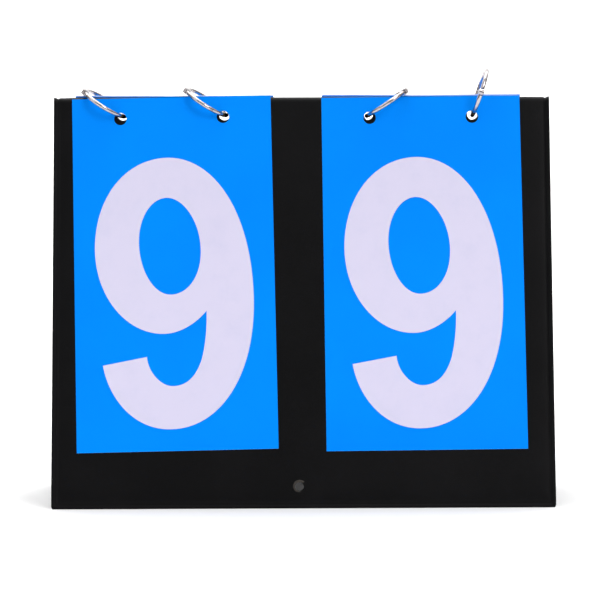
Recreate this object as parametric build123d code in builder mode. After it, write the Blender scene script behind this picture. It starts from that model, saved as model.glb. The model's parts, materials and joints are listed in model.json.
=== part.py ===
from build123d import *
from math import cos, degrees, radians, sin, sqrt
import os

# Folding flip scoreboard: two vinyl-covered boards, a vinyl fold, four book rings and twenty cards.
# Millimetres and degrees. +Z is up, the front board faces -Y, the board stands on z = 0.
# On each board, "drop" is measured down the slope from the fold axis and "depth" out of the board.

# ---- boards ----
board_width = 230.0
board_height = 188.5
lean = 13.0
core_thickness = 1.8
vinyl = 0.35
shut_gap = 0.6
weld_width = 2.8
corner_radius = 2.4
core_corner_radius = 1.2
core_top_drop = 1.0
trim_allowance = 0.8

# ---- holes through the boards ----
ring_hole_radius = 2.75
ring_hole_drop = 6.0
tie_hole_radius = 2.0
tie_hole_drop = board_height - 10.0
tie_hole_x = -2.0
tie_lip_radius = 2.9
tie_lip_height = 0.45

# ---- rings ----
ring_radius = 11.0
wire_radius = 1.0
ring_x = [-82.8, -35.6, 30.6, 79.4]
ring_lean = [-57.0, -57.0, 57.0, 18.0]
ring_yaw = [-14.0, -14.0, 0.0, 0.0]
ring_lift = [-0.25, 0.25, -0.2, 0.1]
ring_hole_shift = [-0.35, -0.35, 0.0, 0.0]
hinge_from_bottom = [150.0, 150.0, 150.0, 92.0]
eye_radius = 1.7
eye_thickness = wire_radius  # the pin heads clear the wire as well as the eyes
eye_clearance = 0.15
pin_radius = 0.6
pin_clearance = 0.05
pin_head_radius = 1.1
pin_head_height = 0.3
half_lap_gap = 0.04
snap_length = 2.4
snap_end_gap = 0.15

# ---- cards ----
card_width = 92.0
card_height = 164.5
card_thickness = 0.2
card_hole_radius = 2.9
card_hole_spacing = 47.5
card_hole_margin = 9.7
card_clearance = 0.05
front_card_x = {"left": -60.35, "right": 55.15}
front_card_drop = {"left": 7.42, "right": 7.42}
front_card_tilt = {"left": 1.1, "right": 0.5}
pile_pitch = 0.23
pile_count = 9
pile_x = {"left": -59.2, "right": 55.3}
pile_x_step = {"left": 0.0, "right": 0.07}
pile_drop = {"left": 6.95, "right": 7.0}
pile_drop_step = {"left": 0.02, "right": -0.02}
pile_tilt_swing = 0.25

# ---- worked out from the sizes above ----
lining_in = shut_gap / 2
core_in = lining_in + vinyl
weld_depth = core_in + core_thickness / 2
core_out = core_in + core_thickness
board_out = core_out + vinyl
core_width = board_width - 2 * weld_width
core_bottom_drop = board_height - weld_width
fold_z = board_height * cos(radians(lean)) - weld_depth * sin(radians(lean))
hole_half_span = ring_hole_drop * sin(radians(lean)) + weld_depth * cos(radians(lean))
hole_z = fold_z - ring_hole_drop * cos(radians(lean)) + weld_depth * sin(radians(lean))
ring_rise = sqrt(ring_radius ** 2 - hole_half_span ** 2)

os.makedirs("parts", exist_ok=True)


def save(piece, name):
    piece.part.label = name
    export_step(piece.part, "parts/" + name + ".step")


def board_plane(side, depth=0.0):
    # side -1 is the front board, +1 the rear one; local y runs up the slope
    outward = (0, side * cos(radians(lean)), sin(radians(lean)))
    return Plane(origin=(0, 0, fold_z), x_dir=(-side, 0, 0), z_dir=outward).offset(depth)


def board_outline(width, top_drop, bottom_drop, radius):
    # a rectangle with square top corners and round bottom corners
    with Locations((0, -(top_drop + bottom_drop) / 2)):
        Rectangle(width, bottom_drop - top_drop)
    bottom_corners = vertices().sort_by(Axis.Y)[:2]
    fillet(bottom_corners, radius)


def board_holes(side):
    # the four ring holes and the tie hole, seen from outside this board
    for x, shift in zip(ring_x, ring_hole_shift):
        with Locations((-side * (x + shift), -ring_hole_drop)):
            Circle(ring_hole_radius, mode=Mode.SUBTRACT)
    with Locations((-side * tie_hole_x, -tie_hole_drop)):
        Circle(tie_hole_radius, mode=Mode.SUBTRACT)


def below_table():
    # everything under z = 0 is cut away, which leaves a flat foot on the welded rim
    with Locations((0, 0, -board_height)):
        Box(2 * board_width, 2 * board_width, 2 * board_height, mode=Mode.SUBTRACT)


def build_core(side):
    with BuildPart() as core:
        with BuildSketch(board_plane(side, core_in)):
            board_outline(core_width, core_top_drop, core_bottom_drop, core_corner_radius)
            board_holes(side)
        extrude(amount=core_thickness)
    return core


def build_sheet(side, weld_face, out_face, cavity_face, has_lip):
    # one vinyl sheet: a shallow tray over half of the core, with the flat welded rim round it
    direction = 1 if out_face > weld_face else -1
    rim_bottom = board_height + trim_allowance
    with BuildPart() as sheet:
        with BuildSketch(board_plane(side, weld_face)):
            board_outline(board_width, 0, rim_bottom, corner_radius)
            board_holes(side)
        extrude(amount=direction * vinyl)
        with BuildSketch(board_plane(side, weld_face)):
            board_outline(core_width + 2 * vinyl, 0, core_bottom_drop + vinyl, core_corner_radius + vinyl)
            board_holes(side)
        extrude(amount=out_face - weld_face)
        with BuildSketch(board_plane(side, weld_face)):
            board_outline(core_width, -core_top_drop, core_bottom_drop, core_corner_radius)
        extrude(amount=cavity_face - weld_face, mode=Mode.SUBTRACT)
        if has_lip:
            with BuildSketch(board_plane(side, out_face)):
                with Locations((-side * tie_hole_x, -tie_hole_drop)):
                    Circle(tie_lip_radius)
                    Circle(tie_hole_radius, mode=Mode.SUBTRACT)
            extrude(amount=tie_lip_height)
        below_table()
    return sheet


# ---- the two boards ----
for board_name, board_side in (("front", -1), ("rear", 1)):
    save(build_core(board_side), board_name + "_core")
    save(build_sheet(board_side, weld_depth, board_out, core_out, True), board_name + "_skin")
    save(build_sheet(board_side, weld_depth, lining_in, core_in, False), board_name + "_lining")

# ---- the fold: half a vinyl tube over the top, round the fold axis ----
with BuildPart() as fold_strip:
    with BuildSketch(Plane.YZ.offset(-board_width / 2)):
        with Locations((0, fold_z)):
            Circle(board_out)
            Circle(core_out, mode=Mode.SUBTRACT)
    extrude(amount=board_width)
    for cut_side in (-1, 1):
        with BuildSketch(board_plane(cut_side, 0)):
            with Locations((0, -board_width / 2)):
                Rectangle(2 * board_width, board_width)
        extrude(amount=board_width, both=True, mode=Mode.SUBTRACT)
save(fold_strip, "fold_strip")


# ---- rings ----
def ring_plane(index):
    # local x points to the front and local y up, in the plane of the leaning ring
    stand = Location((ring_x[index], 0, hole_z + ring_lift[index])) * Rotation(0, 0, ring_yaw[index])
    leaned = stand * Rotation(0, ring_lean[index], 0)
    upright = Plane(origin=(0, 0, ring_rise), x_dir=(0, -1, 0), z_dir=(-1, 0, 0))
    return Plane(leaned * upright.location)


def wire_arc(plane, start, sweep, cut_side=0):
    # a stretch of ring wire; cut_side keeps only the half of it on that side of the ring's plane
    radial = Location(plane) * Rotation(0, 0, start)
    section = Plane(radial * Plane.XZ.location)
    axis = Axis(plane.origin, plane.z_dir)
    with BuildSketch(section) as wire_section:
        with Locations((ring_radius, 0)):
            Circle(wire_radius)
        if cut_side:
            with Locations((ring_radius, -cut_side * (wire_radius - half_lap_gap))):
                Rectangle(3 * wire_radius, 2 * wire_radius, mode=Mode.SUBTRACT)
    revolve(wire_section.sketch, axis=axis, revolution_arc=sweep)


def ring_half(index, turn, cut_side, hole_radius):
    # turn +1 runs up from the hinge (the gate), -1 runs down (the half that holds the cards)
    plane = ring_plane(index)
    hinge_angle = hinge_from_bottom[index] - 90.0
    eye_angle = degrees((eye_radius + eye_clearance) / ring_radius)
    snap_angle = degrees(snap_length / ring_radius) / 2
    end_gap = degrees(snap_end_gap / ring_radius)
    full_end = 180.0 - snap_angle - end_gap / 2
    lap_end = 180.0 + snap_angle - end_gap / 2
    hinge = plane * Location((0, 0, 0), (0, 0, hinge_angle)) * Location((ring_radius, 0, 0))
    with BuildPart() as half:
        wire_arc(plane, hinge_angle + turn * eye_angle, turn * (full_end - eye_angle))
        wire_arc(plane, hinge_angle, turn * (eye_angle + 1.0), cut_side)
        wire_arc(plane, hinge_angle + turn * (full_end - 1.0), turn * (lap_end - full_end + 1.0), cut_side)
        with BuildSketch(Plane(hinge).offset(cut_side * half_lap_gap)):
            Circle(eye_radius)
        extrude(amount=cut_side * eye_thickness)
        with BuildSketch(Plane(hinge)):
            Circle(hole_radius)
        extrude(amount=2 * eye_thickness, both=True, mode=Mode.SUBTRACT)
    return half


def ring_pin(index):
    plane = ring_plane(index)
    hinge_angle = hinge_from_bottom[index] - 90.0
    hinge = plane * Location((0, 0, 0), (0, 0, hinge_angle)) * Location((ring_radius, 0, 0))
    eye_out = half_lap_gap + eye_thickness + pin_clearance
    with BuildPart() as pin:
        with BuildSketch(Plane(hinge)):
            Circle(pin_radius)
        extrude(amount=eye_out, both=True)
        for end in (-1, 1):
            with BuildSketch(Plane(hinge).offset(end * eye_out)):
                Circle(pin_head_radius)
            extrude(amount=end * pin_head_height, taper=20)
    return pin


for ring_index in range(len(ring_x)):
    ring_name = "ring_" + str(ring_index + 1)
    save(ring_half(ring_index, -1, 1, pin_radius), ring_name + "_lower")
    save(ring_half(ring_index, 1, -1, pin_radius + pin_clearance), ring_name + "_gate")
    save(ring_pin(ring_index), ring_name + "_pin")


# ---- cards ----
def build_card(side, depth, x, drop, tilt):
    # x and drop place the middle of the hole row, and the card turns about it by tilt
    with BuildPart() as card:
        with BuildSketch(board_plane(side, depth)):
            with Locations(Location((-side * x, -drop, 0), (0, 0, tilt))):
                with Locations((0, card_hole_margin - card_height / 2)):
                    Rectangle(card_width, card_height)
                with Locations((-card_hole_spacing / 2, 0), (card_hole_spacing / 2, 0)):
                    Circle(card_hole_radius, mode=Mode.SUBTRACT)
        extrude(amount=card_thickness)
    return card


first_card_depth = board_out + card_clearance
for stack in ("left", "right"):
    front_card = build_card(-1, first_card_depth, front_card_x[stack], front_card_drop[stack],
                            front_card_tilt[stack])
    save(front_card, stack + "_card_9")
    for number in range(pile_count):
        pile_card = build_card(1, first_card_depth + number * pile_pitch,
                               pile_x[stack] + number * pile_x_step[stack],
                               pile_drop[stack] + number * pile_drop_step[stack],
                               pile_tilt_swing * sin(2.4 * number))
        save(pile_card, stack + "_card_" + str(number))

# ---- the places that the record repeats ----
for ring_index in range(len(ring_x)):
    place = ring_plane(ring_index)
    hinge_turn = Location((0, 0, 0), (0, 0, hinge_from_bottom[ring_index] - 90.0))
    hinge_place = place * hinge_turn * Location((ring_radius, 0, 0))
    lean_axis = Rotation(0, 0, ring_yaw[ring_index]) * Pos(0, 1, 0)
    print("ring", ring_index + 1, "hinge", hinge_place.position, "axis", place.z_dir)
    print("  lean axis", lean_axis.position, "through", (ring_x[ring_index], 0, hole_z + ring_lift[ring_index]))
foot_y = board_height * sin(radians(lean)) + weld_depth * cos(radians(lean))
print("fold z", fold_z, "hole z", hole_z, "foot y", foot_y)
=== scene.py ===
import json
from math import cos, degrees, pi, radians, sin

import bpy
from mathutils import Matrix, Vector


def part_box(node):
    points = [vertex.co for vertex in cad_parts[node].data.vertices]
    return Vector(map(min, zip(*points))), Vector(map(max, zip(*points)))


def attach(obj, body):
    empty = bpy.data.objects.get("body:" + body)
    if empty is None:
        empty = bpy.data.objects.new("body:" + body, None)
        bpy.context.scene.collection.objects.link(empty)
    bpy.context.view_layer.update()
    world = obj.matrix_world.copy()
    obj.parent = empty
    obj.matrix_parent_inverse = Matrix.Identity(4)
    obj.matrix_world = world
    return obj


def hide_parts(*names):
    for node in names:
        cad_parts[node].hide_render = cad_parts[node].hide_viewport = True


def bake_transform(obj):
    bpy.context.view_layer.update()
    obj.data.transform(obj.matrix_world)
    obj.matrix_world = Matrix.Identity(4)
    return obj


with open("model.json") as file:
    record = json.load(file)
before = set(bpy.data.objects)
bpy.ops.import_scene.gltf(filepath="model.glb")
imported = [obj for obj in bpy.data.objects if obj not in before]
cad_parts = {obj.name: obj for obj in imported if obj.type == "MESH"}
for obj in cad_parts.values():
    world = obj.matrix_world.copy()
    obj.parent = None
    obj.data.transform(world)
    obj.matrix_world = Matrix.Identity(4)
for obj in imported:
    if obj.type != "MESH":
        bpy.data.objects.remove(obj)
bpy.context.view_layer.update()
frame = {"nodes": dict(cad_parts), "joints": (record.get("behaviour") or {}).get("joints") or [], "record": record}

# Metres throughout. The front board faces -Y and the table is z = 0.
foldJoint = next(j for j in frame["joints"] if j["name"] == "rear_panel_fold")
foldZ = foldJoint["pos_m"][2]
lean = radians(foldJoint["range_deg"][1]) / 2
foldLow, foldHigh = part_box("fold_strip")
boardWidth = foldHigh[0] - foldLow[0]
boardDepth = foldHigh[2] - foldZ  # from the fold axis out to the face of a board
halfFold = boardDepth * (pi / 2 - lean)


def onBoard(side, x, drop, depth):
    # a point on the front (-1) or rear (+1) board; drop runs down the slope
    across = side * (drop * sin(lean) + depth * cos(lean))
    return Vector((x, across, foldZ - drop * cos(lean) + depth * sin(lean)))


def overFold(x, along, depth):
    # the same, for a sheet that runs from the front board over the fold to the rear one
    side = -1 if along < 0 else 1
    if abs(along) > halfFold:
        return onBoard(side, x, abs(along) - halfFold, depth)
    turn = along / halfFold * (pi / 2 - lean)
    return Vector((x, sin(turn) * depth, foldZ + cos(turn) * depth))


def clearSelection():
    if bpy.context.object and bpy.context.object.mode != "OBJECT":
        bpy.ops.object.mode_set(mode="OBJECT")
    bpy.ops.object.select_all(action="DESELECT")


def pick(piece):
    clearSelection()
    piece.select_set(True)
    bpy.context.view_layer.objects.active = piece


def applyAll(piece):
    pick(piece)
    for modifier in list(piece.modifiers):
        bpy.ops.object.modifier_apply(modifier=modifier.name)


mergeGap, fineMerge, inkMerge = 0.00001, 0.000005, 0.0000005
softAngle = 32  # creases sharper than this stay crisp


def tidyMesh(piece, merge=mergeGap):
    pick(piece)
    bpy.ops.object.mode_set(mode="EDIT")
    bpy.ops.mesh.select_all(action="SELECT")
    bpy.ops.mesh.remove_doubles(threshold=merge)
    bpy.ops.mesh.normals_make_consistent(inside=False)
    bpy.ops.object.mode_set(mode="OBJECT")


def smoothUnder(piece, angle):
    pick(piece)
    bpy.ops.object.shade_smooth_by_angle(angle=radians(angle))


def holdAtOrigin(piece):
    pick(piece)
    bpy.ops.object.transform_apply(location=True, rotation=True, scale=True)


# ---- shader maths ----
class Link:
    def __init__(self, maker, socket):
        self.maker = maker
        self.socket = socket

    def math(self, operation, *others):
        return self.maker.add("Math", {"operation": operation}, dict(enumerate((self,) + others)))

    def __add__(self, other):
        return self.math("ADD", other)

    def __mul__(self, other):
        return self.math("MULTIPLY", other)

    def __sub__(self, other):
        return self.math("SUBTRACT", other)

    def __rsub__(self, other):
        return self.maker.add("Math", {"operation": "SUBTRACT"}, {0: other, 1: self})

    def __abs__(self):
        return self.math("ABSOLUTE")

    __radd__ = __add__
    __rmul__ = __mul__

    def above(self, low, high):
        # 0 under low, 1 over high, smooth between
        return self.maker.add("MapRange", {"interpolation_type": "SMOOTHSTEP"},
                               {"Value": self, "From Min": low, "From Max": high})


class Nodes:
    def __init__(self, tree):
        self.tree = tree

    def add(self, kind, settings=None, values=None, output=0):
        node = self.tree.nodes.new("ShaderNode" + kind)
        for name, value in (settings or {}).items():
            setattr(node, name, value)
        for name, value in (values or {}).items():
            if isinstance(value, Link):
                self.tree.links.new(value.socket, node.inputs[name])
            else:
                node.inputs[name].default_value = value
        return Link(self, node.outputs[output])

    def mix(self, factor, first, second):
        # input 0 is the factor, and 6 and 7 are the colours
        return self.add("Mix", {"data_type": "RGBA"}, {0: factor, 6: first, 7: second}, output=2)


class Finish(Nodes):
    def __init__(self, name, **constants):
        self.material = bpy.data.materials.new(name)
        self.material.use_nodes = True
        super().__init__(self.material.node_tree)
        self.shader = self.tree.nodes["Principled BSDF"]
        for socket, value in constants.items():
            self.shader.inputs[socket.replace("_", " ")].default_value = value
        self.place = self.add("TexCoord", output="Object")

    def noise(self, scale, detail=3.0, rough=0.5, place=None):
        return self.add("TexNoise", None, {"Vector": place or self.place, "Scale": scale,
                                           "Detail": detail, "Roughness": rough})

    def cells(self, scale, feature="F1"):
        return self.add("TexVoronoi", {"feature": feature}, {"Vector": self.place, "Scale": scale},
                        output="Distance")

    def bump(self, height, strength, distance, under=None):
        values = {"Height": height, "Strength": strength, "Distance": distance}
        if under:
            values["Normal"] = under
        return self.add("Bump", None, values)

    def feed(self, **links):
        for socket, link in links.items():
            self.tree.links.new(link.socket, self.shader.inputs[socket.replace("_", " ")])
        return self.material


vinylLook = {"dark": (0.0016, 0.0016, 0.0019, 1), "worn": (0.0042, 0.0040, 0.0045, 1),
             "grain": 1900, "roughness": 0.40}


def makeVinyl(name, roughness, grainStrength, gloss, dark, worn):
    vinyl = Finish(name, IOR=1.5, Specular_IOR_Level=gloss)
    pores = vinyl.cells(vinylLook["grain"])
    creases = vinyl.cells(vinylLook["grain"] * 0.55, "DISTANCE_TO_EDGE").above(0.0, 0.18)
    fine = vinyl.noise(5200, 2.0)
    broad = vinyl.noise(22, 4.0, 0.6)
    drift = vinyl.noise(7, 2.0)
    dust = vinyl.noise(620, 5.0, 0.7).above(0.64, 0.8)
    shade = vinyl.mix(broad.above(0.35, 0.75) * 0.5 + dust * 0.35, dark, worn)
    height = pores * 0.5 + creases * 0.4 + fine * 0.15
    swell = vinyl.bump(drift, 0.35, 0.0012)
    rough = roughness + (broad - 0.5) * 0.12 + (1 - creases) * 0.08 + dust * 0.1
    return vinyl.feed(Base_Color=shade, Roughness=rough,
                      Normal=vinyl.bump(height, grainStrength, 0.00009, swell))


def makeChipboard():
    core = Finish("chipboardCore", Roughness=0.88)
    fibre = core.noise(900, 6.0, 0.65)
    flakes = core.cells(1500)
    brown = core.mix(fibre.above(0.35, 0.65), (0.055, 0.036, 0.018, 1), (0.20, 0.14, 0.075, 1))
    speck = core.mix(flakes.above(0.45, 0.6), brown, (0.32, 0.25, 0.16, 1))
    return core.feed(Base_Color=speck, Normal=core.bump(fibre + flakes * 0.5, 0.6, 0.0002))


cardLook = {"blue": (0.0, 0.262, 1.0, 1), "deeper": (0.0, 0.240, 0.96, 1),
            "cutEdge": (0.60, 0.72, 0.86, 1)}


def makeCardBlue():
    card = Finish("cardBlue", IOR=1.46, Specular_IOR_Level=0.04)
    cloud = card.noise(16, 3.0)
    film = card.noise(1400, 3.0, 0.6)
    facing = card.add("NewGeometry", output="Normal")
    flatness = None
    for side in (-1, 1):
        outward = (0, side * cos(lean), sin(lean))
        turned = abs(card.add("VectorMath", {"operation": "DOT_PRODUCT"}, {0: facing, 1: outward},
                              output="Value"))
        flatness = turned if flatness is None else flatness.math("MAXIMUM", turned)
    edge = 1 - flatness.above(0.62, 0.72)
    printed = card.mix(cloud.above(0.3, 0.75), cardLook["blue"], cardLook["deeper"])
    colour = card.mix(edge, printed, cardLook["cutEdge"])
    scuffs = card.noise(210, 5.0, 0.75).above(0.6, 0.78)
    return card.feed(Base_Color=colour, Roughness=0.42 + scuffs * 0.12 + edge * 0.2,
                     Normal=card.bump(film, 0.16, 0.00004))


numeralLook = {"ink": (0.69, 0.655, 0.83, 1), "thin": (0.655, 0.63, 0.81, 1)}


def makeInk():
    ink = Finish("numeralInk", IOR=1.45, Specular_IOR_Level=0.15)
    mottle = ink.noise(95, 5.0, 0.65)
    tooth = ink.noise(2600, 2.0)
    colour = ink.mix(mottle.above(0.42, 0.8), numeralLook["ink"], numeralLook["thin"])
    return ink.feed(Base_Color=colour, Roughness=0.5 + (mottle - 0.5) * 0.15,
                    Normal=ink.bump(tooth, 0.12, 0.00003))


def makeMetal(name, bright, dull, roughness, streak):
    metal = Finish(name, Metallic=1.0)
    wear = metal.noise(420, 5.0, 0.7)
    stretched = metal.add("Mapping", None, {"Vector": metal.place, "Scale": (1.0, 6.0, 1.0)})
    lines = metal.noise(1600, 3.0, 0.6, stretched)
    colour = metal.mix(wear.above(0.45, 0.75), bright, dull)
    return metal.feed(Base_Color=colour, Roughness=roughness + wear * 0.1 + lines * streak,
                      Normal=metal.bump(lines, 0.08, 0.00005))


finishes = {
    "black_vinyl": makeVinyl("grainedVinyl", vinylLook["roughness"], 0.42, 0.11, vinylLook["dark"],
                             vinylLook["worn"]),
    "black_lining": makeVinyl("liningVinyl", 0.75, 0.2, 0.02, (0.0008, 0.0008, 0.0009, 1), vinylLook["dark"]),
    "chipboard": makeChipboard(),
    "blue_card": makeCardBlue(),
    "ring_chrome": makeMetal("ringNickel", (0.56, 0.52, 0.52, 1), (0.22, 0.18, 0.17, 1), 0.05, 0.06),
    "pin_steel": makeMetal("pinSteel", (0.58, 0.57, 0.57, 1), (0.40, 0.38, 0.37, 1), 0.22, 0.15),
}
inkFinish = makeInk()
# the burr round a tie hole is painted paler than the board: a painted highlight standing for light caught on its
# raised rim
lipPaintedHighlightFinish = makeVinyl("lipPaintedHighlightVinyl", 0.5, 0.3, 0.3, (0.030, 0.026, 0.022, 1), (0.085, 0.074, 0.060, 1))
slotOf = {s["node"]: s["material_slot"] for s in frame["record"]["subparts"]}
for nodeName, node in frame["nodes"].items():
    for index in range(max(1, len(node.material_slots))):
        if node.material_slots:
            node.material_slots[index].material = finishes[slotOf[nodeName]]
        else:
            node.data.materials.append(finishes[slotOf[nodeName]])
print("finishes made and laid on the frame")

# One vinyl cover: welded rim, soft shoulder, flat face, over the fold and down the back.
cover = {"vinyl": 0.00035, "corner": 0.0024, "height": 0.1885, "foldCuts": 26, "foldReach": 1.3, "panes": 8,
         # the corners of the fold stand up a little, like ears
         "earRise": 0.0011, "earWidth": 0.006, "earReach": 1.6,
         # the section in from an edge, as (distance from the edge, depth)
         "section": ((0.0, 0.00190), (0.0006, 0.00196), (0.0012, 0.00194), (0.0015, 0.00182),
                     (0.0019, 0.00178), (0.0023, 0.00206), (0.0028, 0.00238), (0.0036, 0.00256),
                     (0.0048, 0.00266), (0.0062, 0.00274), (0.0080, 0.00279), (0.0100, 0.00280))}
holes = {"ringDrop": 0.0060, "ringRadius": 0.00275, "ringShift": (-0.00035, -0.00035, 0, 0),
         "tieX": -0.002, "tieDrop": 0.1785, "tieRadius": 0.0020, "sides": 40,
         "punchLength": 0.01, "punchMiddle": 0.002}


def ringSpots():
    leans = [j for j in frame["joints"] if j["name"].endswith("_lean")]
    return [j["pos_m"][0] + shift for j, shift in zip(leans, holes["ringShift"])]


def flatHole(x, along, radius):
    bpy.ops.mesh.primitive_cylinder_add(vertices=holes["sides"], radius=radius, depth=holes["punchLength"],
                                        location=(x, along, holes["punchMiddle"]))
    return bpy.context.object


def punchHoles(sheet, boards):
    # four ring holes and a tie hole in each board, whose fold edge lies at the given place
    cutters = []
    for side, foldEdge in boards:
        for x in ringSpots():
            cutters.append(flatHole(x, foldEdge + side * holes["ringDrop"], holes["ringRadius"]))
        cutters.append(flatHole(holes["tieX"], foldEdge + side * holes["tieDrop"], holes["tieRadius"]))
    pick(cutters[0])
    for cutter in cutters:
        cutter.select_set(True)
    bpy.ops.object.join()
    punch = cutters[0]
    cut = sheet.modifiers.new("punch", "BOOLEAN")
    cut.object = punch
    cut.solver = "EXACT"
    applyAll(sheet)
    bpy.data.objects.remove(punch)


def coverDepthAt(inset):
    section = cover["section"]
    for (nearEdge, low), (further, high) in zip(section, section[1:]):
        if inset <= further:
            return low + (high - low) * (inset - nearEdge) / (further - nearEdge)
    return section[-1][1]


def cutAcross(direction, spots):
    for spot in spots:
        bpy.ops.mesh.select_all(action="SELECT")
        bpy.ops.mesh.bisect(plane_co=tuple(c * spot for c in direction), plane_no=direction)


def roundCorner(x, along, halfWidth, halfLength):
    # a square corner of the grid is drawn in onto a quarter circle
    radius = cover["corner"]
    overX = abs(x) - (halfWidth - radius)
    overY = abs(along) - (halfLength - radius)
    if overX <= 0 or overY <= 0:
        return x, along
    shrink = max(overX, overY) / Vector((overX, overY)).length
    movedX = halfWidth - radius + overX * shrink
    movedY = halfLength - radius + overY * shrink
    return (movedX if x > 0 else -movedX), (movedY if along > 0 else -movedY)


def makeCover():
    halfWidth, halfLength = boardWidth / 2, cover["height"] + halfFold
    clearSelection()
    bpy.ops.mesh.primitive_plane_add(size=1, location=(0, 0, 0))
    sheet = bpy.context.object
    sheet.name = "vinylCover"
    sheet.scale = (2 * halfWidth, 2 * halfLength, 1)
    holdAtOrigin(sheet)
    insets = [spot[0] for spot in cover["section"][1:]]
    foldSpots = [(2 * cut / cover["foldCuts"] - 1) * cover["foldReach"] * halfFold
                 for cut in range(cover["foldCuts"] + 1)]
    panes = [(pane / cover["panes"] - 0.5) * 2 for pane in range(1, cover["panes"])]
    bpy.ops.object.mode_set(mode="EDIT")
    for sign in (-1, 1):
        cutAcross((1, 0, 0), [sign * (halfWidth - inset) for inset in insets])
        cutAcross((0, 1, 0), [sign * (halfLength - inset) for inset in insets])
    cutAcross((0, 1, 0), foldSpots)
    cutAcross((1, 0, 0), [pane * halfWidth for pane in panes])
    cutAcross((0, 1, 0), [pane * halfLength for pane in panes])
    bpy.ops.object.mode_set(mode="OBJECT")
    for vertex in sheet.data.vertices:
        inset = min(halfWidth - abs(vertex.co.x), halfLength - abs(vertex.co.y))
        vertex.co.z = coverDepthAt(inset)
        vertex.co.x, vertex.co.y = roundCorner(vertex.co.x, vertex.co.y, halfWidth, halfLength)
    thick = sheet.modifiers.new("vinyl", "SOLIDIFY")
    thick.thickness = cover["vinyl"]
    thick.offset = -1
    punchHoles(sheet, ((-1, -halfFold), (1, halfFold)))
    for vertex in sheet.data.vertices:
        x, along, depth = vertex.co
        nearEdge = max(0.0, 1 - (boardWidth / 2 - abs(x)) / cover["earWidth"])
        nearFold = max(0.0, 1 - (abs(along) / (cover["earReach"] * halfFold)) ** 2)
        vertex.co = overFold(x, along, depth + cover["earRise"] * nearEdge ** 2 * nearFold)
    tidyMesh(sheet, fineMerge)
    smoothUnder(sheet, softAngle)
    sheet.data.materials.clear()
    sheet.data.materials.append(finishes["black_vinyl"])
    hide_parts("front_skin", "rear_skin", "fold_strip")
    -boardDepth * cos(lean)
    boardDepth * cos(lean)
    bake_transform(sheet)
    return sheet


makeCover()
print("vinyl cover folded")

# The board inside each half of the cover, its face edges crushed round by the vinyl drawn over it.
core = {"rim": 0.0030, "topDrop": 0.0012, "back": 0.00066, "face": 0.00232, "crush": 0.0008, "steps": 4}


def makeCore(side):
    low = side * core["topDrop"]
    high = side * (cover["height"] - core["rim"])
    clearSelection()
    bpy.ops.mesh.primitive_cube_add(size=1, location=(0, (low + high) / 2, (core["back"] + core["face"]) / 2))
    board = bpy.context.object
    board.name = "frontBoard" if side < 0 else "rearBoard"
    board.scale = (boardWidth - 2 * core["rim"], abs(high - low), core["face"] - core["back"])
    holdAtOrigin(board)
    for edge in board.data.edges:
        ends = [board.data.vertices[v].co for v in edge.vertices]
        edge.select = all(end.z > (core["back"] + core["face"]) / 2 for end in ends)
    for face in board.data.polygons:
        face.select = False
    bpy.ops.object.mode_set(mode="EDIT")
    bpy.ops.mesh.select_mode(type="EDGE")
    bpy.ops.mesh.bevel(offset=core["crush"], segments=core["steps"])
    bpy.ops.object.mode_set(mode="OBJECT")
    punchHoles(board, ((side, 0),))
    for vertex in board.data.vertices:
        vertex.co = onBoard(side, vertex.co.x, abs(vertex.co.y), vertex.co.z)
    tidyMesh(board, fineMerge)
    smoothUnder(board, softAngle)
    board.data.materials.clear()
    board.data.materials.append(finishes["chipboard"])
    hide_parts("front_core" if side < 0 else "rear_core")
    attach(board, "front_panel" if side < 0 else "rear_panel")


for boardSide in (-1, 1):
    makeCore(boardSide)
print("boards cut and crushed")

# The curled burr of vinyl round each tie hole: a ring that stays open at its lower right.
lip = {"radius": 0.0024, "wire": 0.00048, "openFrom": -75, "openTo": 38, "tip": 1.5, "sink": 0.0001,
       "tipReach": 40, "tailThin": 0.55, "tailReach": 60, "bends": 60, "sides": 12}


def angleRound(spot):
    # degrees anticlockwise from +X, seen from above
    return -degrees(Vector((1, 0)).angle_signed(Vector((spot.x, spot.y))))


def makeLip(side):
    clearSelection()
    bpy.ops.mesh.primitive_torus_add(major_segments=lip["bends"], minor_segments=lip["sides"],
                                     major_radius=lip["radius"], minor_radius=lip["wire"],
                                     location=(0, 0, 0))
    burr = bpy.context.object
    burr.name = "frontHoleLip" if side < 0 else "rearHoleLip"
    bpy.ops.object.mode_set(mode="EDIT")
    bpy.ops.mesh.select_all(action="DESELECT")
    bpy.ops.object.mode_set(mode="OBJECT")
    for vertex in burr.data.vertices:
        angle = angleRound(vertex.co)
        vertex.select = lip["openFrom"] + 1 < angle < lip["openTo"] - 1
    bpy.ops.object.mode_set(mode="EDIT")
    bpy.ops.mesh.delete(type="VERT")
    bpy.ops.mesh.select_all(action="SELECT")
    bpy.ops.mesh.region_to_loop()
    bpy.ops.mesh.edge_face_add()
    bpy.ops.object.mode_set(mode="OBJECT")
    for vertex in burr.data.vertices:
        flat = Vector((vertex.co.x, vertex.co.y))
        angle = angleRound(vertex.co)
        nearTip = max(0.0, 1 - abs(angle - lip["openTo"]) / lip["tipReach"])
        nearTail = max(0.0, 1 - abs(angle - lip["openFrom"]) / lip["tailReach"])
        centre = flat.normalized() * lip["radius"]
        swell = 1 + (lip["tip"] - 1) * nearTip - lip["tailThin"] * nearTail
        swollen = centre + (flat - centre) * swell
        x = side * -1 * swollen.x + holes["tieX"]
        depth = boardDepth - lip["sink"] + vertex.co.z * swell
        vertex.co = onBoard(side, x, holes["tieDrop"] - swollen.y, depth)
    tidyMesh(burr)
    smoothUnder(burr, 60)
    # the lip's finish is a painted highlight, a pale colour in place of light on the raised rim
    burr.data.materials.append(lipPaintedHighlightFinish)
    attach(burr, "front_panel" if side < 0 else "rear_panel")


for lipSide in (-1, 1):
    makeLip(lipSide)
print("tie hole lips curled")

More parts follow.
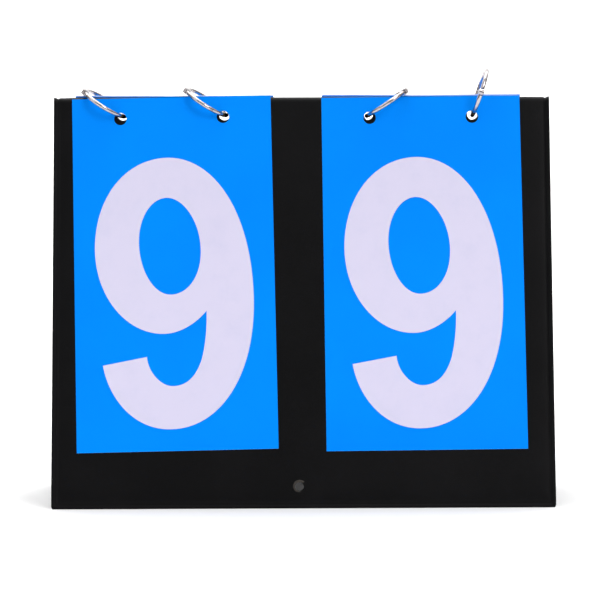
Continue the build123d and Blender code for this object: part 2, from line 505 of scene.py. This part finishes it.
# The printed 9: outline points as (x, y, in handle, out handle), from the middle of the card.
nine = {
    "outer": (((-2.2, 53.8), (21, 0), (-20, 0)), ((-36.4, 11.2), (0, 24), (0, -21.5)),
              ((-5.2, -28.3), (-17.5, 0), (8.6, 0)), ((14.4, -18.0), (-3.4, -4.2), (0.1, -7)),
              ((11.6, -40.9), (2.0, 6.2), (-2.4, -6.6)), ((-1.6, -52.5), (7.0, 0), (-5.6, 0)),
              ((-13.3, -38.8), (0.3, -6.8), (0, 0)), ((-33.5, -42.4), (0, 0), (2.6, -15.5)),
              ((-2.8, -72.3), (-17, 0), (22.5, 0)), ((36.2, -13.0), (0, -35.5), (0, 41)),
              ),
    "counter": (((-3.0, 35.0), (-7.0, 0), (7.6, 0)), ((12.3, 10.2), (0, 13.5), (0, -12.2)),
                ((-1.8, -10.2), (7.8, 0), (-7.8, 0)), ((-16.1, 14.2), (0, -13), (0, 12))),
    "thickness": 0.00002, "proud": 0.00001, "unit": 0.001}  # the outline is in units of 1 mm
cards = {"height": 0.1645, "margin": 0.0097,
         "front": {"left": (-0.06035, 0.00742, 1.1), "right": (0.05515, 0.00742, 0.5)},
         "rear": {"left": (-0.0592, 0.00711, 0.086), "right": (0.05586, 0.00684, 0.086)},
         "frontFace": 0.00315, "rearFace": 0.0055}


def addStroke(outline, points):
    stroke = outline.splines.new("BEZIER")
    stroke.bezier_points.add(len(points) - 1)
    for knot, (spot, before, after) in zip(stroke.bezier_points, points):
        knot.handle_left_type = knot.handle_right_type = "FREE"
        knot.co = (*spot, 0)
        knot.handle_left = (spot[0] + before[0], spot[1] + before[1], 0)
        knot.handle_right = (spot[0] + after[0], spot[1] + after[1], 0)
    stroke.use_cyclic_u = True
    stroke.resolution_u = 24


def makeNumeral(name, side, stack, body):
    x, drop, tilt = cards["front" if side < 0 else "rear"][stack]
    outline = bpy.data.curves.new(name, "CURVE")
    outline.dimensions = "2D"
    outline.fill_mode = "BOTH"
    addStroke(outline, nine["outer"])
    addStroke(outline, nine["counter"])
    drawn = bpy.data.objects.new(name, outline)
    bpy.context.scene.collection.objects.link(drawn)
    pick(drawn)
    bpy.ops.object.convert(target="MESH")
    numeral = bpy.context.object
    thick = numeral.modifiers.new("ink", "SOLIDIFY")
    thick.thickness = nine["thickness"] / nine["unit"]
    thick.offset = 1
    applyAll(numeral)
    face = cards["frontFace"] if side < 0 else cards["rearFace"]
    turn = Matrix.Rotation(radians(tilt), 2)
    for vertex in numeral.data.vertices:
        onCard = Vector((vertex.co.x, vertex.co.y)) * nine["unit"]
        onCard.y -= cards["height"] / 2 - cards["margin"]
        spot = turn @ onCard
        raised = face + nine["proud"] + vertex.co.z * nine["unit"]
        vertex.co = onBoard(side, x - side * spot.x, drop - spot.y, raised)
    tidyMesh(numeral, inkMerge)
    numeral.data.materials.clear()
    numeral.data.materials.append(inkFinish)
    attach(numeral, body)


for stackName in ("left", "right"):
    makeNumeral(stackName + "FrontNine", -1, stackName, stackName + "_front_card")
    makeNumeral(stackName + "RearNine", 1, stackName, stackName + "_flipped_cards")
print("numerals printed")

# A pale table that curves up into a pale wall.
stage = {"width": 6.0, "front": -1.0, "back": 2.2, "wall": 3.0, "curve": 0.9}


def makeStage():
    clearSelection()
    bpy.ops.mesh.primitive_plane_add(size=1, location=(0, (stage["front"] + stage["back"]) / 2, 0))
    table = bpy.context.object
    table.name = "paleTable"
    table.scale = (stage["width"], stage["back"] - stage["front"], 1)
    holdAtOrigin(table)
    for vertex in table.data.vertices:
        vertex.select = vertex.co.y > 0
    for edge in table.data.edges:
        edge.select = all(table.data.vertices[v].select for v in edge.vertices)
    for face in table.data.polygons:
        face.select = False
    bpy.ops.object.mode_set(mode="EDIT")
    bpy.ops.mesh.select_mode(type="EDGE")
    bpy.ops.mesh.extrude_edges_move(TRANSFORM_OT_translate={"value": (0, 0, stage["wall"])})
    bpy.ops.object.mode_set(mode="OBJECT")
    for edge in table.data.edges:
        ends = [table.data.vertices[v].co for v in edge.vertices]
        edge.select = all(c.y > 0 and c.z < 0.001 for c in ends)
    bpy.ops.object.mode_set(mode="EDIT")
    bpy.ops.mesh.bevel(offset=stage["curve"], segments=24)
    bpy.ops.object.mode_set(mode="OBJECT")
    smoothUnder(table, 60)
    paper = Finish("palePaper", Roughness=0.9)
    tone = paper.noise(3, 2.0)
    table.data.materials.append(paper.feed(
        Base_Color=paper.mix(tone, (0.93, 0.93, 0.93, 1), (0.96, 0.96, 0.96, 1))))


makeStage()

lamps = {
    "key": {"from": (1.3, -1.9, 1.7), "at": (0, 0, 0.1), "size": 0.9, "power": 19},
    "fill": {"from": (-2.2, -1.6, 1.2), "at": (0, 0, 0.1), "size": 2.0, "power": 10},
    "top": {"from": (0.0, 0.5, 2.4), "at": (0, 0, 0.1), "size": 2.2, "power": 26},
    "wall": {"from": (0.0, 0.7, 1.6), "at": (0, 2.2, 0.5), "size": 1.6, "power": 30},
}


def aim(thing, spot, target):
    thing.location = spot
    thing.rotation_euler = (Vector(target) - Vector(spot)).to_track_quat("-Z", "Y").to_euler()


for lampName, choice in lamps.items():
    lamp = bpy.data.lights.new(lampName, "AREA")
    lamp.size = choice["size"]
    lamp.energy = choice["power"]
    holder = bpy.data.objects.new(lampName, lamp)
    bpy.context.scene.collection.objects.link(holder)
    aim(holder, choice["from"], choice["at"])

# The room is bright overhead and dim round the sides, so the rings catch dark streaks,
# and its sides look bright behind the board.
room = {"dim": (0.10, 0.095, 0.11, 1), "bright": (1, 1, 1, 1), "from": 0.15, "to": 0.75, "strength": 1.0}
world = bpy.data.worlds.new("studio")
bpy.context.scene.world = world
world.use_nodes = True
roomNodes = Nodes(world.node_tree)
skyHeight = roomNodes.add("SeparateXYZ", None, {0: roomNodes.add("TexCoord", output="Generated")}, output="Z")
skyBand = roomNodes.add("MapRange", None,
                        {"Value": skyHeight, "From Min": room["from"], "From Max": room["to"]})
skyTone = roomNodes.mix(skyBand, room["dim"], room["bright"])
seenTone = roomNodes.mix(roomNodes.add("LightPath", output="Is Camera Ray"), skyTone, room["bright"])
background = world.node_tree.nodes["Background"]
world.node_tree.links.new(seenTone.socket, background.inputs["Color"])
background.inputs["Strength"].default_value = room["strength"]
bpy.context.scene.view_settings.view_transform = "Standard"

shot = {"azimuth": 0.63, "elevation": 4.8, "distance": 1.354, "lens": 173.7, "aim": (-0.00104, 0, 0.0915),
        "roll": -0.15}
eye = bpy.data.cameras.new("shot")
eye.lens = shot["lens"]
eye.sensor_width = 36
viewer = bpy.data.objects.new("shot", eye)
bpy.context.scene.collection.objects.link(viewer)
turn, rise = radians(shot["azimuth"]), radians(shot["elevation"])
reach = Vector((-sin(turn) * cos(rise), -cos(turn) * cos(rise), sin(rise))) * shot["distance"]
aim(viewer, Vector(shot["aim"]) + reach, shot["aim"])
viewer.rotation_euler = (viewer.rotation_euler.to_matrix()
                         @ Matrix.Rotation(radians(shot["roll"]), 3, "Z")).to_euler()
bpy.context.scene.camera = viewer
print("stage, lamps and camera set")
